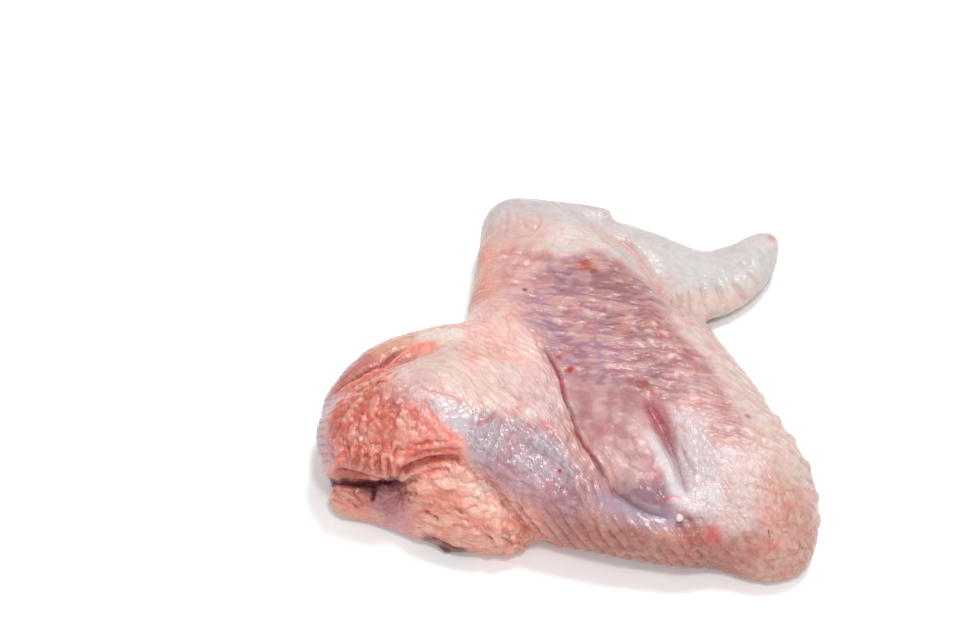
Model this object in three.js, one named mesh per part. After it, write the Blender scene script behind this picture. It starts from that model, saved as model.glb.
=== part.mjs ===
// A raw turkey wing, folded in a Z and lying on its inner side, as one closed solid.
// Millimetres, +Z up. The origin is on the surface it lies on, under the middle of the wing.
// +X runs from the cut shoulder towards the elbow, +Y from the upper arm towards the wrist.
//
// The flesh is a signed field: limbs and muscle bellies are flattened, tapered capsules that
// run through a few stations, and they melt into each other as skin-covered flesh does.
// Furrows are pressed into that field along named paths, the mouth of the cut shoulder is
// hollowed out of it, and the surface is then drawn where the field is zero.
import * as THREE from "three";

// ---- Driving dimensions ----
const CELL = 3.8; // pitch of the grid that the skin is drawn on
const PLAN_REACH = 104; // half the side of that grid
const TOP = 66; // its highest layer
const SETTLE = 3; // radius where flesh rolls into its flat resting patch
const EVENING_TURNS = 3; // times the points of the skin are slid into even places
const PRESSED = new THREE.Vector3(0, 0.6, -0.8); // the way furrows go in: down and inwards
const FURROW_FADE = 0.12; // how little a furrow narrows on its way in
const SKIN_REACH = 14; // furrows are felt this near the skin

// Each station of a limb is where its middle passes, its half width and its half thickness,
// and its roll in degrees where it has one: positive roll lifts the left side of the way on.
const UPPER_ARM = [
  { at: [-67, -35, 22.5], wide: 23, thick: 25 },
  { at: [-52, -34, 24.5], wide: 28, thick: 28 },
  { at: [-28, -41, 21.5], wide: 26, thick: 25 },
  { at: [-2, -53, 17.5], wide: 20, thick: 21 },
  { at: [21, -60, 13.5], wide: 16, thick: 17 },
  { at: [44, -65, 11.5], wide: 13, thick: 15 },
  { at: [65, -69, 10.5], wide: 12, thick: 14 },
];
const SHOULDER_MEAT = [
  { at: [-77.5, -18, 19], wide: 12, thick: 15 },
  { at: [-64.5, -6.5, 24], wide: 13, thick: 16 },
  { at: [-47, 1.5, 25], wide: 12, thick: 14 },
];
const LOWER_LIP = [
  { at: [-78.5, -47, 6.5], wide: 10, thick: 9 },
  { at: [-65, -50.5, 6.5], wide: 10, thick: 9 },
  { at: [-52, -56, 6.5], wide: 10, thick: 10 },
];
const FAT_PAD = [
  { at: [-52, -50, 11.5], wide: 14, thick: 15 },
  { at: [-37, -56, 12.5], wide: 17, thick: 17 },
  { at: [-21, -60, 11.5], wide: 15, thick: 15 },
];
const TORN_FLAP = [
  { at: [-43, -62, 4.5], wide: 6, thick: 4 },
  { at: [-42, -66, 2.5], wide: 6, thick: 3 },
  { at: [-39, -69, 0.5], wide: 6, thick: 2.5 },
];
const WEB = [
  { at: [-8, 54, 17.5], wide: 20, thick: 13 },
  { at: [-10, 27, 18.5], wide: 22, thick: 14 },
  { at: [-11, -2, 19.5], wide: 22, thick: 16 },
  { at: [2, -31, 16.5], wide: 16, thick: 14 },
];
const LEADING_SKIN = [
  { at: [-19, 75, 17.5], wide: 12, thick: 14 },
  { at: [-20, 54, 18.5], wide: 9.5, thick: 10 },
  { at: [-20, 34, 19.5], wide: 8, thick: 11 },
  { at: [-24, 10, 23.5], wide: 11, thick: 13 },
  { at: [-35, -9, 27.5], wide: 16, thick: 16 },
];
const SKIN_BAND = [
  { at: [-21, 32, 24.5], wide: 10, thick: 8 },
  { at: [-16, 5, 28.5], wide: 12, thick: 10 },
  { at: [-10, -24, 31.5], wide: 13, thick: 10 },
  { at: [-3, -45, 29.5], wide: 12, thick: 10 },
  { at: [7, -61, 25.5], wide: 10, thick: 9 },
  { at: [23, -69, 19.5], wide: 9, thick: 9 },
  { at: [41, -73, 16.5], wide: 9, thick: 9 },
];
const FOREARM = [
  { at: [69, -61, 13.5], wide: 19, thick: 17 },
  { at: [62, -49, 17.5], wide: 23, thick: 20 },
  { at: [46, -23, 18.5], wide: 24, thick: 21 },
  { at: [29, 10, 18.5], wide: 22, thick: 21 },
  { at: [12, 42, 17.5], wide: 21, thick: 19 },
  { at: [-6, 69, 14.5], wide: 15, thick: 19 },
];
const FOREARM_BELLY = [
  { at: [3, 29, 24.5], wide: 14, thick: 11 },
  { at: [10, 4, 26.5], wide: 16, thick: 12 },
  { at: [17, -21, 27.5], wide: 17, thick: 12.5 },
  { at: [24, -42, 26.5], wide: 16, thick: 13 },
  { at: [31, -54, 23.5], wide: 13, thick: 12 },
  { at: [37, -63, 21.5], wide: 8, thick: 9 },
];
const TRAILING_SKIN = [
  { at: [48, 28, 12.5], wide: 9, thick: 8, roll: -15 },
  { at: [58, 5, 11.5], wide: 11, thick: 9, roll: -15 },
  { at: [69, -21, 9.5], wide: 12, thick: 10, roll: -12 },
  { at: [76, -49, 9.5], wide: 12, thick: 11, roll: -8 },
  { at: [76, -69, 9.5], wide: 11, thick: 11 },
  { at: [79, -73.5, 5.5], wide: 8, thick: 7 },
];
const HAND = [
  { at: [-7, 73, 14.5], wide: 12, thick: 14 },
  { at: [13, 72, 12.5], wide: 14, thick: 12 },
  { at: [33, 66, 10.5], wide: 15, thick: 11 },
  { at: [51, 57, 8.5], wide: 17, thick: 9 },
  { at: [63, 58, 7.5], wide: 16, thick: 8 },
  { at: [75, 66, 8.5], wide: 12, thick: 7 },
  { at: [82, 73, 10.5], wide: 8, thick: 6 },
  { at: [85, 76, 11.5], wide: 5, thick: 4.5 },
];
const HAND_SKIN = [
  { at: [12, 51, 12.5], wide: 14, thick: 10 },
  { at: [32, 44, 10.5], wide: 14, thick: 9 },
  { at: [46, 41, 9.5], wide: 11, thick: 8 },
];
const ALULA = [
  { at: [-3, 81, 22.5], wide: 6, thick: 5 },
  { at: [11, 80, 23.5], wide: 5, thick: 4.5 },
  { at: [18, 79, 24.5], wide: 3.6, thick: 3.4 },
  { at: [23, 80, 25], wide: 2.4, thick: 2.4 },
];

// Each station of a furrow is a point of the skin it is pressed into, with its half width and depth.
const ARM_CREASE = [
  { at: [-8, -4, 41], wide: 6, deep: 1 },
  { at: [-3, -19, 40], wide: 7, deep: 2.5 },
  { at: [-1, -32, 41], wide: 7, deep: 4 },
  { at: [3, -42, 41], wide: 7, deep: 4 },
  { at: [6, -53, 40], wide: 7, deep: 4 },
  { at: [12, -64, 37], wide: 7, deep: 4 },
  { at: [19, -71, 32], wide: 7, deep: 4 },
  { at: [28, -75, 30], wide: 7, deep: 3.5 },
  { at: [38, -77, 29], wide: 6, deep: 2.5 },
  { at: [47, -77, 27], wide: 6, deep: 0.7 },
];
const FOREARM_GROOVE = [
  { at: [27, -23, 39], wide: 6, deep: 1.2 },
  { at: [30, -32, 39], wide: 7, deep: 2.5 },
  { at: [33, -40, 38], wide: 8, deep: 3.2 },
  { at: [37, -50, 36], wide: 8, deep: 3 },
  { at: [40, -61, 34], wide: 7, deep: 2.8 },
  { at: [41, -68, 32], wide: 6, deep: 1.2 },
];
const ARM_FURROW = [
  { at: [-22, -49, 45], wide: 6, deep: 1 },
  { at: [-14, -55, 42], wide: 7, deep: 2.2 },
  { at: [-5, -62, 39], wide: 7, deep: 2.8 },
  { at: [-0, -68, 36], wide: 7, deep: 2.8 },
  { at: [4, -73, 32], wide: 7, deep: 1.5 },
];
const SHOULDER_FOLD = [
  { at: [-59, -61, 34], wide: 6, deep: 3 },
  { at: [-55, -60, 38], wide: 7, deep: 3 },
  { at: [-47, -59, 40], wide: 7, deep: 3 },
  { at: [-39, -60, 40], wide: 6, deep: 1.5 },
];
const PAD_EDGE = [
  { at: [-32, -63, 37], wide: 6, deep: 1.5 },
  { at: [-26, -66, 32], wide: 7, deep: 2.5 },
  { at: [-20, -71, 27], wide: 7, deep: 3 },
  { at: [-15, -75, 20], wide: 7, deep: 3 },
  { at: [-10, -74, 12], wide: 6, deep: 2 },
];
const SKIN_EDGE = [
  { at: [-86, -28, 36], wide: 6, deep: 1.5 },
  { at: [-79, -28, 42], wide: 7, deep: 2.2 },
  { at: [-72, -25, 45], wide: 7, deep: 2.4 },
  { at: [-64, -19, 45], wide: 7, deep: 2.2 },
  { at: [-58, -8, 40], wide: 6, deep: 1.5 },
];
const HAND_VALLEY = [
  { at: [21, 68, 24], wide: 6, deep: 0.8 },
  { at: [30, 59, 21], wide: 7, deep: 1.6 },
  { at: [37, 45, 21], wide: 7, deep: 2 },
  { at: [44, 23, 28], wide: 6, deep: 1.5 },
];

// The mouth between the shoulder's skin and its lower lip: wide is how far it goes in.
const MOUTH = [
  { at: [-85, -52, 16.5], wide: 7, thick: 2.5 },
  { at: [-78, -53, 16.5], wide: 11, thick: 3 },
  { at: [-70, -54, 16.5], wide: 13, thick: 5 },
  { at: [-62, -55, 19.5], wide: 11, thick: 3.5 },
];

// ---- Field tools ----
const smoothUnion = (a, b, soft) => {
  const near = Math.max(soft - Math.abs(a - b), 0) / soft;
  return Math.min(a, b) - (near * near * soft) / 4;
};
const smoothCut = (a, b, soft) => -smoothUnion(-a, -b, soft);
const curveThrough = (points) => new THREE.CatmullRomCurve3(points, false, "catmullrom", 0.5);

// Short straight tapered links along a smooth curve through the stations.
function linksOf(stations, linksPerSpan) {
  const middle = curveThrough(stations.map((s) => new THREE.Vector3(...s.at)));
  const sizes = curveThrough(stations.map((s) => new THREE.Vector3(s.wide, s.thick ?? s.deep, s.roll ?? 0)));
  const count = (stations.length - 1) * linksPerSpan;
  const links = [];
  for (let i = 0; i < count; i++) {
    const start = middle.getPoint(i / count);
    const along = middle.getPoint((i + 1) / count).sub(start);
    const length = along.length();
    along.normalize();
    const from = sizes.getPoint(i / count);
    const to = sizes.getPoint((i + 1) / count);
    const side = new THREE.Vector3(0, 0, 1).cross(along).normalize();
    side.applyAxisAngle(along, THREE.MathUtils.degToRad((from.z + to.z) / 2));
    const up = along.clone().cross(side);
    const centre = start.clone().addScaledVector(along, length / 2);
    const bound = length / 2 + Math.max(from.x, from.y, to.x, to.y);
    links.push({ start, along, length, side, up, from, to, centre, bound });
  }
  return links;
}

// Where a point lies beside a link: its share of the way, the rest beyond the ends, and the sizes there.
function besideLink(link, x, y, z) {
  const dx = x - link.start.x;
  const dy = y - link.start.y;
  const dz = z - link.start.z;
  const run = dx * link.along.x + dy * link.along.y + dz * link.along.z;
  const share = Math.min(Math.max(run / link.length, 0), 1);
  const first = link.from.x + (link.to.x - link.from.x) * share;
  const second = link.from.y + (link.to.y - link.from.y) * share;
  return { dx, dy, dz, share, beyond: run - share * link.length, first, second };
}

// Distance to one link of a limb, near enough for blending: the usual bound for an ellipsoid.
function linkField(link, x, y, z) {
  const { dx, dy, dz, beyond, first: wide, second: thick } = besideLink(link, x, y, z);
  const round = (wide + thick) / 2;
  const past = beyond / round;
  const across = (dx * link.side.x + dy * link.side.y + dz * link.side.z) / wide;
  const above = (dx * link.up.x + dy * link.up.y + dz * link.up.z) / thick;
  const reach = Math.sqrt(past * past + across * across + above * above);
  const slope = Math.sqrt((past / round) ** 2 + (across / wide) ** 2 + (above / thick) ** 2);
  return slope > 1e-9 ? (reach * (reach - 1)) / slope : -Math.min(wide, thick);
}

function limb(stations) {
  const links = linksOf(stations, 5);
  return (x, y, z) => {
    let nearest = Infinity;
    for (const link of links) {
      const reach = Math.max(nearest + link.bound, 0);
      const [cx, cy, cz] = [x - link.centre.x, y - link.centre.y, z - link.centre.z];
      if (cx * cx + cy * cy + cz * cz < reach * reach) nearest = Math.min(nearest, linkField(link, x, y, z));
    }
    return nearest;
  };
}

// How deep a furrow is pressed at a point: a valley with rounded shoulders.
function furrow(stations) {
  const links = linksOf(stations, 2);
  return (x, y, z) => {
    let deepest = 0;
    for (const link of links) {
      const { dx, dy, dz, share, first: wide, second: deep } = besideLink(link, x, y, z);
      const ox = dx - link.along.x * link.length * share;
      const oy = dy - link.along.y * link.length * share;
      const oz = dz - link.along.z * link.length * share;
      const inwards = ox * PRESSED.x + oy * PRESSED.y + oz * PRESSED.z;
      const aside = Math.sqrt(Math.max(ox * ox + oy * oy + oz * oz - inwards * inwards, 0));
      const near = 1 - (aside * aside + (FURROW_FADE * inwards) ** 2) / (wide * wide);
      if (near > 0) deepest = Math.max(deepest, deep * near * near);
    }
    return deepest;
  };
}

// ---- The flesh ----
const BODIES = [
  { shape: limb(UPPER_ARM), soft: 1 },
  { shape: limb(SHOULDER_MEAT), soft: 4 },
  { shape: limb(LOWER_LIP), soft: 6 },
  { shape: limb(FAT_PAD), soft: 5 },
  { shape: limb(TORN_FLAP), soft: 2 },
  { shape: limb(WEB), soft: 10 },
  { shape: limb(LEADING_SKIN), soft: 14 },
  { shape: limb(SKIN_BAND), soft: 13 },
  { shape: limb(FOREARM), soft: 12 },
  { shape: limb(FOREARM_BELLY), soft: 10 },
  { shape: limb(TRAILING_SKIN), soft: 16 },
  { shape: limb(HAND), soft: 8 },
  { shape: limb(HAND_SKIN), soft: 8 },
  { shape: limb(ALULA), soft: 3 },
];
const FURROWS = [
  furrow(ARM_CREASE),
  furrow(FOREARM_GROOVE),
  furrow(ARM_FURROW),
  furrow(SHOULDER_FOLD),
  furrow(PAD_EDGE),
  furrow(SKIN_EDGE),
  furrow(HAND_VALLEY),
  furrow(MOUTH),
];
const mouth = limb(MOUTH);

function wing(x, y, z) {
  let field = Infinity;
  for (const { shape, soft } of BODIES) {
    const next = shape(x, y, z);
    field = field === Infinity ? next : smoothUnion(field, next, soft);
  }
  if (Math.abs(field) < SKIN_REACH) for (const pressed of FURROWS) field += pressed(x, y, z);
  field = smoothCut(field, -mouth(x, y, z), 2);
  return smoothCut(field, -z, SETTLE);
}

// ---- Drawing the surface: one vertex in each grid cell that the skin crosses ----
function drawSurface(field) {
  const across = Math.ceil((2 * PLAN_REACH) / CELL) + 1;
  const floors = Math.ceil((TOP + 2 * CELL) / CELL) + 1;
  const low = new THREE.Vector3(-PLAN_REACH, -PLAN_REACH, -1.5 * CELL);
  const at = (i, j, k) => (k * across + j) * across + i;
  const values = new Float64Array(across * across * floors);
  for (let k = 0; k < floors; k++)
    for (let j = 0; j < across; j++)
      for (let i = 0; i < across; i++)
        values[at(i, j, k)] = field(low.x + i * CELL, low.y + j * CELL, low.z + k * CELL);
  settleSides(values, across, floors, at);

  const corners = [0, 1, 2, 3, 4, 5, 6, 7].map((c) => [c & 1, (c >> 1) & 1, c >> 2]);
  const edges = [];
  for (let a = 0; a < 8; a++)
    for (const bit of [1, 2, 4]) if (!(a & bit)) edges.push([a, a | bit]);

  const cellVertex = new Map();
  const points = [];
  for (let k = 0; k < floors - 1; k++)
    for (let j = 0; j < across - 1; j++)
      for (let i = 0; i < across - 1; i++) {
        const sum = new THREE.Vector3();
        let crossings = 0;
        for (const [a, b] of edges) {
          const [ca, cb] = [corners[a], corners[b]];
          const va = values[at(i + ca[0], j + ca[1], k + ca[2])];
          const vb = values[at(i + cb[0], j + cb[1], k + cb[2])];
          if (va < 0 === vb < 0) continue;
          const t = va / (va - vb);
          sum.x += ca[0] + t * (cb[0] - ca[0]);
          sum.y += ca[1] + t * (cb[1] - ca[1]);
          sum.z += ca[2] + t * (cb[2] - ca[2]);
          crossings++;
        }
        if (!crossings) continue;
        sum.divideScalar(crossings);
        cellVertex.set(at(i, j, k), points.length);
        points.push(sum.add(new THREE.Vector3(i, j, k)).multiplyScalar(CELL).add(low));
      }
  points.forEach((p) => settleOnField(field, p));
  const quads = quadsBetween(values, cellVertex, across, floors, at);
  evenOut(field, points, quads);
  return { points, faces: quads.flatMap((quad) => splitQuad(field, points, quad)) };
}

// Where flesh touches itself only across a corner, the faintest corner of that square changes side,
// so that the skin never meets itself along an edge.
function settleSides(values, across, floors, at) {
  const planes = [[1, 0, 0, 0, 1, 0], [0, 1, 0, 0, 0, 1], [0, 0, 1, 1, 0, 0]];
  let unsettled = true;
  while (unsettled) {
    unsettled = false;
    for (let k = 0; k < floors - 1; k++)
      for (let j = 0; j < across - 1; j++)
        for (let i = 0; i < across - 1; i++)
          for (const [a, b, c, p, q, r] of planes) {
            const square = [at(i, j, k), at(i + a, j + b, k + c), at(i + a + p, j + b + q, k + c + r),
              at(i + p, j + q, k + r)];
            const inside = square.map((n) => values[n] < 0);
            if (inside[0] !== inside[2] || inside[1] !== inside[3] || inside[0] === inside[1]) continue;
            const faintest = square.reduce((m, n) => (Math.abs(values[n]) < Math.abs(values[m]) ? n : m));
            values[faintest] *= -0.01;
            unsettled = true;
          }
  }
}

// Slides points along the skin until each lies in the middle of its neighbours.
function evenOut(field, points, quads) {
  const neighbours = points.map(() => new Set());
  for (const quad of quads)
    quad.forEach((corner, n) => {
      neighbours[corner].add(quad[(n + 1) % 4]);
      neighbours[corner].add(quad[(n + 3) % 4]);
    });
  for (let turn = 0; turn < EVENING_TURNS; turn++) {
    const middles = neighbours.map((near) => {
      const sum = new THREE.Vector3();
      near.forEach((n) => sum.add(points[n]));
      return sum.divideScalar(near.size);
    });
    points.forEach((p, i) => {
      p.lerp(middles[i], 0.6);
      settleOnField(field, p);
    });
  }
}

// Moves a point along the field's slope until it lies on the skin.
function settleOnField(field, p) {
  const step = 0.05;
  const most = 0.6 * CELL;
  const start = p.clone();
  for (let turn = 0; turn < 3; turn++) {
    const here = field(p.x, p.y, p.z);
    const slope = new THREE.Vector3(
      field(p.x + step, p.y, p.z) - field(p.x - step, p.y, p.z),
      field(p.x, p.y + step, p.z) - field(p.x, p.y - step, p.z),
      field(p.x, p.y, p.z + step) - field(p.x, p.y, p.z - step),
    ).divideScalar(2 * step);
    p.addScaledVector(slope, -here / Math.max(slope.lengthSq(), 0.2));
  }
  const moved = p.clone().sub(start);
  if (moved.length() > most) p.copy(start).addScaledVector(moved, most / moved.length());
  if (Math.abs(p.z) < 0.05) p.z = 0;
}

// One quad across every grid edge that the skin crosses.
function quadsBetween(values, cellVertex, across, floors, at) {
  const quads = [];
  const steps = [[1, 0, 0], [0, 1, 0], [0, 0, 1]];
  for (let k = 1; k < floors - 1; k++)
    for (let j = 1; j < across - 1; j++)
      for (let i = 1; i < across - 1; i++)
        steps.forEach((step, axis) => {
          const inside = values[at(i, j, k)] < 0;
          if (inside === values[at(i + step[0], j + step[1], k + step[2])] < 0) return;
          const [u, v] = [steps[(axis + 1) % 3], steps[(axis + 2) % 3]];
          const quad = [[0, 0], [1, 0], [1, 1], [0, 1]].map(([p, q]) =>
            cellVertex.get(at(i - p * u[0] - q * v[0], j - p * u[1] - q * v[1], k - p * u[2] - q * v[2])));
          quads.push(inside ? quad : quad.reverse());
        });
  return quads;
}

// Two triangles, split along the diagonal whose middle lies nearer to the skin.
function splitQuad(field, points, [a, b, c, d]) {
  const off = (p, q) => {
    const middle = points[p].clone().lerp(points[q], 0.5);
    return Math.abs(field(middle.x, middle.y, middle.z));
  };
  return off(a, c) < off(b, d) ? [a, b, c, a, c, d] : [a, b, d, b, c, d];
}

function skinMesh() {
  const { points, faces } = drawSurface(wing);
  const geometry = new THREE.BufferGeometry();
  const places = points.flatMap((p) => [p.x, p.y, p.z]);
  geometry.setAttribute("position", new THREE.Float32BufferAttribute(places, 3));
  geometry.setIndex(faces);
  geometry.computeBoundingBox();
  const middle = geometry.boundingBox.getCenter(new THREE.Vector3());
  geometry.translate(-middle.x, -middle.y, 0);
  geometry.computeVertexNormals();
  const material = new THREE.MeshStandardMaterial({ color: 0xe3b3a8, roughness: 0.45, metalness: 0 });
  const mesh = new THREE.Mesh(geometry, material);
  mesh.name = "turkey_wing";
  return mesh;
}

const model = new THREE.Group();
model.add(skinMesh());

export default model;
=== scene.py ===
import math

import bmesh
import bpy
import numpy as np
from mathutils import Euler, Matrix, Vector
from mathutils.bvhtree import BVHTree
from mathutils.kdtree import KDTree


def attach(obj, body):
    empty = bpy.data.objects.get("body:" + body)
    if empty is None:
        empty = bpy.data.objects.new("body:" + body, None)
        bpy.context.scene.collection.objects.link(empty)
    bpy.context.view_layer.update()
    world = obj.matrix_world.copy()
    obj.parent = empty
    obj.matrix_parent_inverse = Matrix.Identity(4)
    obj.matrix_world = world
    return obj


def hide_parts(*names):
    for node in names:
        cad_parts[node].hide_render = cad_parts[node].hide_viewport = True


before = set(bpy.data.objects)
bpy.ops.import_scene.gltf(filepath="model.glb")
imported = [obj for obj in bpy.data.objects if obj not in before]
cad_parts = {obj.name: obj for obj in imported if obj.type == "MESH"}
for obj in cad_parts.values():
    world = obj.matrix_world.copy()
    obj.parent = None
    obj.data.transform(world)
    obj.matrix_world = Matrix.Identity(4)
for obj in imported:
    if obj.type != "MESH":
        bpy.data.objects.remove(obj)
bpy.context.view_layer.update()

# Tints by name, as a picture holds them: red, green and blue from 0 to 255.
PALETTE = {
    "cream_pink": (227, 203, 197), "cream": (229, 208, 200), "pale_pink": (241, 208, 201),
    "pale_rose": (219, 192, 188), "rose": (212, 162, 158), "lilac_rose": (190, 158, 164),
    "lilac_grey": (198, 179, 191), "tendon_white": (233, 225, 226), "deep_rose": (171, 104, 112),
    "nub_cream": (226, 203, 190),
    "wine": (140, 62, 74), "beige_rose": (207, 158, 148), "orange_pink": (231, 156, 142),
    "peach": (247, 196, 180), "pale_peach": (245, 207, 192), "orange_red": (213, 128, 115),
    "flush_red": (222, 104, 92), "brown_rose": (174, 121, 112), "dark_flesh": (88, 32, 34),
    "pale_orange": (236, 188, 160), "flush_orange": (240, 158, 142),
    "deep_red": (150, 48, 48), "violet_dark": (96, 74, 98), "lilac_dark": (160, 132, 145),
    "brown_red": (132, 56, 50), "flush_pink": (205, 98, 108), "plum": (140, 88, 100),
    "lilac_rose_dark": (176, 140, 148),
    "deep_orange": (170, 74, 58), "pale_flush": (228, 172, 166), "quill_shade": (205, 172, 160),
    "lilac_mauve": (188, 148, 162), "warm_cream": (237, 205, 197), "rust": (168, 96, 72),
    "red_dot": (170, 36, 52), "black_hair": (38, 26, 28),
}

# Tones of the skin, fat and meat, a few of them painted shade or highlight as marked below: name, colour,
# reach in mm, weight, and a path of places in the picture. A tone shows most where its path runs and
# fades out round it.
TONES = [
    ("hand", (204, 204, 203), 12, 1.0, (640, 252), (700, 268), (745, 260), (766, 245)),
    ("hand_underrim", (224, 206, 199), 5, 1.0, (690, 300), (715, 303), (740, 295)),
    ("hand_tip", (217, 187, 179), 4, 0.7, (768, 240)),
    ("wrist_top", (203, 197, 198), 8, 1.0, (500, 214), (555, 210), (605, 214)),
    ("wrist_side", (212, 182, 176), 6, 1.0, (497, 232), (528, 226)),
    ("forearm_head", (223, 211, 207), 7, 0.9, (560, 238), (615, 244), (655, 285)),
    ("forearm_muscle", (160, 126, 141), 12, 1.1, (552, 296), (572, 330), (590, 362)),
    ("forearm_middle", (146, 106, 108), 11, 0.9, (600, 285), (640, 325), (672, 365)),
    ("forearm_outer", (196, 165, 162), 7, 0.8, (690, 375), (715, 425)),
    ("trailing_skin", (219, 202, 194), 8, 1.1, (690, 330), (735, 375), (770, 425), (795, 470)),
    ("forearm_belly", (170, 130, 130), 10, 1.1, (590, 395), (615, 430), (632, 462)),
    ("belly_end", (138, 108, 120), 6, 1.0, (630, 488), (655, 497)),
    ("tendon_head", (222, 192, 190), 4, 0.7, (640, 420), (650, 442)),
    ("tendon", (236, 230, 232), 3.6, 1.2, (653, 440), (661, 458), (670, 476), (680, 494)),
    ("groove_bed", (185, 140, 141), 2.6, 1.2, (651, 402), (660, 422), (669, 444)),
    # outer_sheen is a painted highlight: a whitish tone where the skin shows a broad sheen.
    ("outer_sheen", (216, 207, 210), 6, 1.0, (692, 425), (703, 465), (703, 500)),
    ("elbow_inner", (208, 190, 188), 7, 0.9, (730, 522), (745, 480)),
    ("elbow_outer", (202, 161, 150), 8, 1.0, (782, 495), (800, 540)),
    ("elbow_low", (196, 152, 138), 7, 1.0, (755, 562), (798, 562)),
    ("band_top", (224, 208, 208), 8, 1.1, (516, 380), (536, 378), (548, 398)),
    ("band_low", (188, 150, 148), 5, 1.0, (566, 425), (585, 452), (606, 478)),
    ("lilac_strip", (178, 163, 176), 4, 1.3, (602, 500), (630, 513), (668, 523)),
    ("rim_halo", (226, 188, 179), 10, 0.3, (484, 246), (482, 275), (486, 305)),
    ("leading_rim", (231, 172, 161), 5, 0.95, (480, 258), (483, 292)),
    ("leading_skin", (236, 200, 192), 8, 1.2, (492, 312), (496, 338), (486, 362), (512, 345), (524, 362)),
    ("web_head", (210, 169, 165), 7, 0.7, (515, 262), (522, 300)),
    ("web_shoulder", (229, 210, 200), 9, 1.1, (462, 372), (440, 382), (500, 385)),
    ("shoulder_bumps", (196, 110, 98), 11, 1.1, (352, 425), (372, 402), (384, 432), (398, 447)),
    ("pleats", (190, 106, 92), 3.2, 0.9, (342, 466), (360, 466), (378, 467), (394, 466)),
    ("shoulder_brow", (216, 119, 108), 5, 0.9, (358, 388), (385, 374)),
    ("shoulder_flush", (220, 116, 104), 3.0, 1.0, (406, 410), (420, 424), (432, 440)),
    ("shoulder_mottle", (233, 180, 170), 4, 0.9, (424, 438), (412, 420), (440, 440), (452, 446)),
    ("shoulder_rim", (205, 170, 174), 4.5, 1.2, (330, 402), (323, 430), (327, 462)),
    ("white_patch", (226, 200, 196), 3.0, 1.2, (404, 372), (414, 382), (424, 396)),
    ("blue_patch", (200, 188, 194), 3.4, 1.3, (440, 402), (452, 412), (460, 424)),
    ("pale_patch", (182, 158, 162), 6.5, 1.0, (402, 392), (418, 386), (428, 398)),
    ("brow_lilac", (223, 190, 185), 5, 0.9, (402, 368), (400, 385)),
    ("arm_wrinkles", (245, 152, 138), 4.5, 1.1, (415, 452), (448, 450)),
    ("hollow_top", (182, 172, 178), 7, 1.2, (488, 438), (520, 450), (545, 468)),
    ("hollow", (160, 122, 130), 9, 1.1, (500, 470), (535, 492), (562, 508)),
    ("hollow_end", (194, 152, 146), 5, 1.0, (585, 492), (600, 518)),
    ("arm_underband", (164, 114, 103), 9, 1.1, (560, 530), (620, 542), (690, 552), (735, 556)),
    ("fat_pad", (217, 147, 130), 13, 1.2, (430, 500), (470, 518), (512, 530)),
    ("fat_brow", (246, 178, 164), 5, 1.1, (420, 478), (458, 472)),
    ("fat_white", (255, 232, 222), 6, 1.1, (476, 484), (500, 503)),
    # mouth_wall is painted shade: dark brown red between the pleats and the slit, where the flap shades it.
    ("mouth_wall", (176, 100, 88), 2.0, 1.8, (338, 474), (350, 475), (362, 478)),
    ("lip", (224, 148, 134), 5, 1.2, (338, 494), (358, 506)),
    ("lip_rim", (216, 178, 162), 2, 1.3, (335, 508), (352, 517), (366, 523)),
    ("lip_inner", (200, 150, 155), 6, 1.3, (380, 500), (398, 512)),
    # mouth_corner and mouth are painted shade: near black red along the slit and in the hollow under the
    # flap, over the inner meat's own dark red.
    ("mouth_corner", (88, 34, 38), 1.3, 2.2, (324, 482), (336, 483), (348, 483)),
    ("mouth", (88, 44, 54), 2.6, 1.8, (362, 484), (374, 484), (386, 481), (396, 479)),
    ("membrane", (188, 127, 122), 6, 1.3, (338, 384), (362, 360), (392, 350)),
    ("membrane_glow", (230, 189, 166), 4.5, 1.1, (380, 350), (404, 343)),
    ("meat_patch", (246, 176, 166), 2.6, 1.6, (414, 350), (428, 349)),
    ("cartilage", (238, 228, 220), 3.6, 1.6, (424, 334), (446, 335)),
    ("torn_flap", (80, 34, 28), 3.0, 4.5, (436, 543), (446, 548), (458, 552)),
    ("shoulder_back", (203, 150, 141), 9, 0.8, (340, 372), (372, 345), (420, 330)),
]
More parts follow.
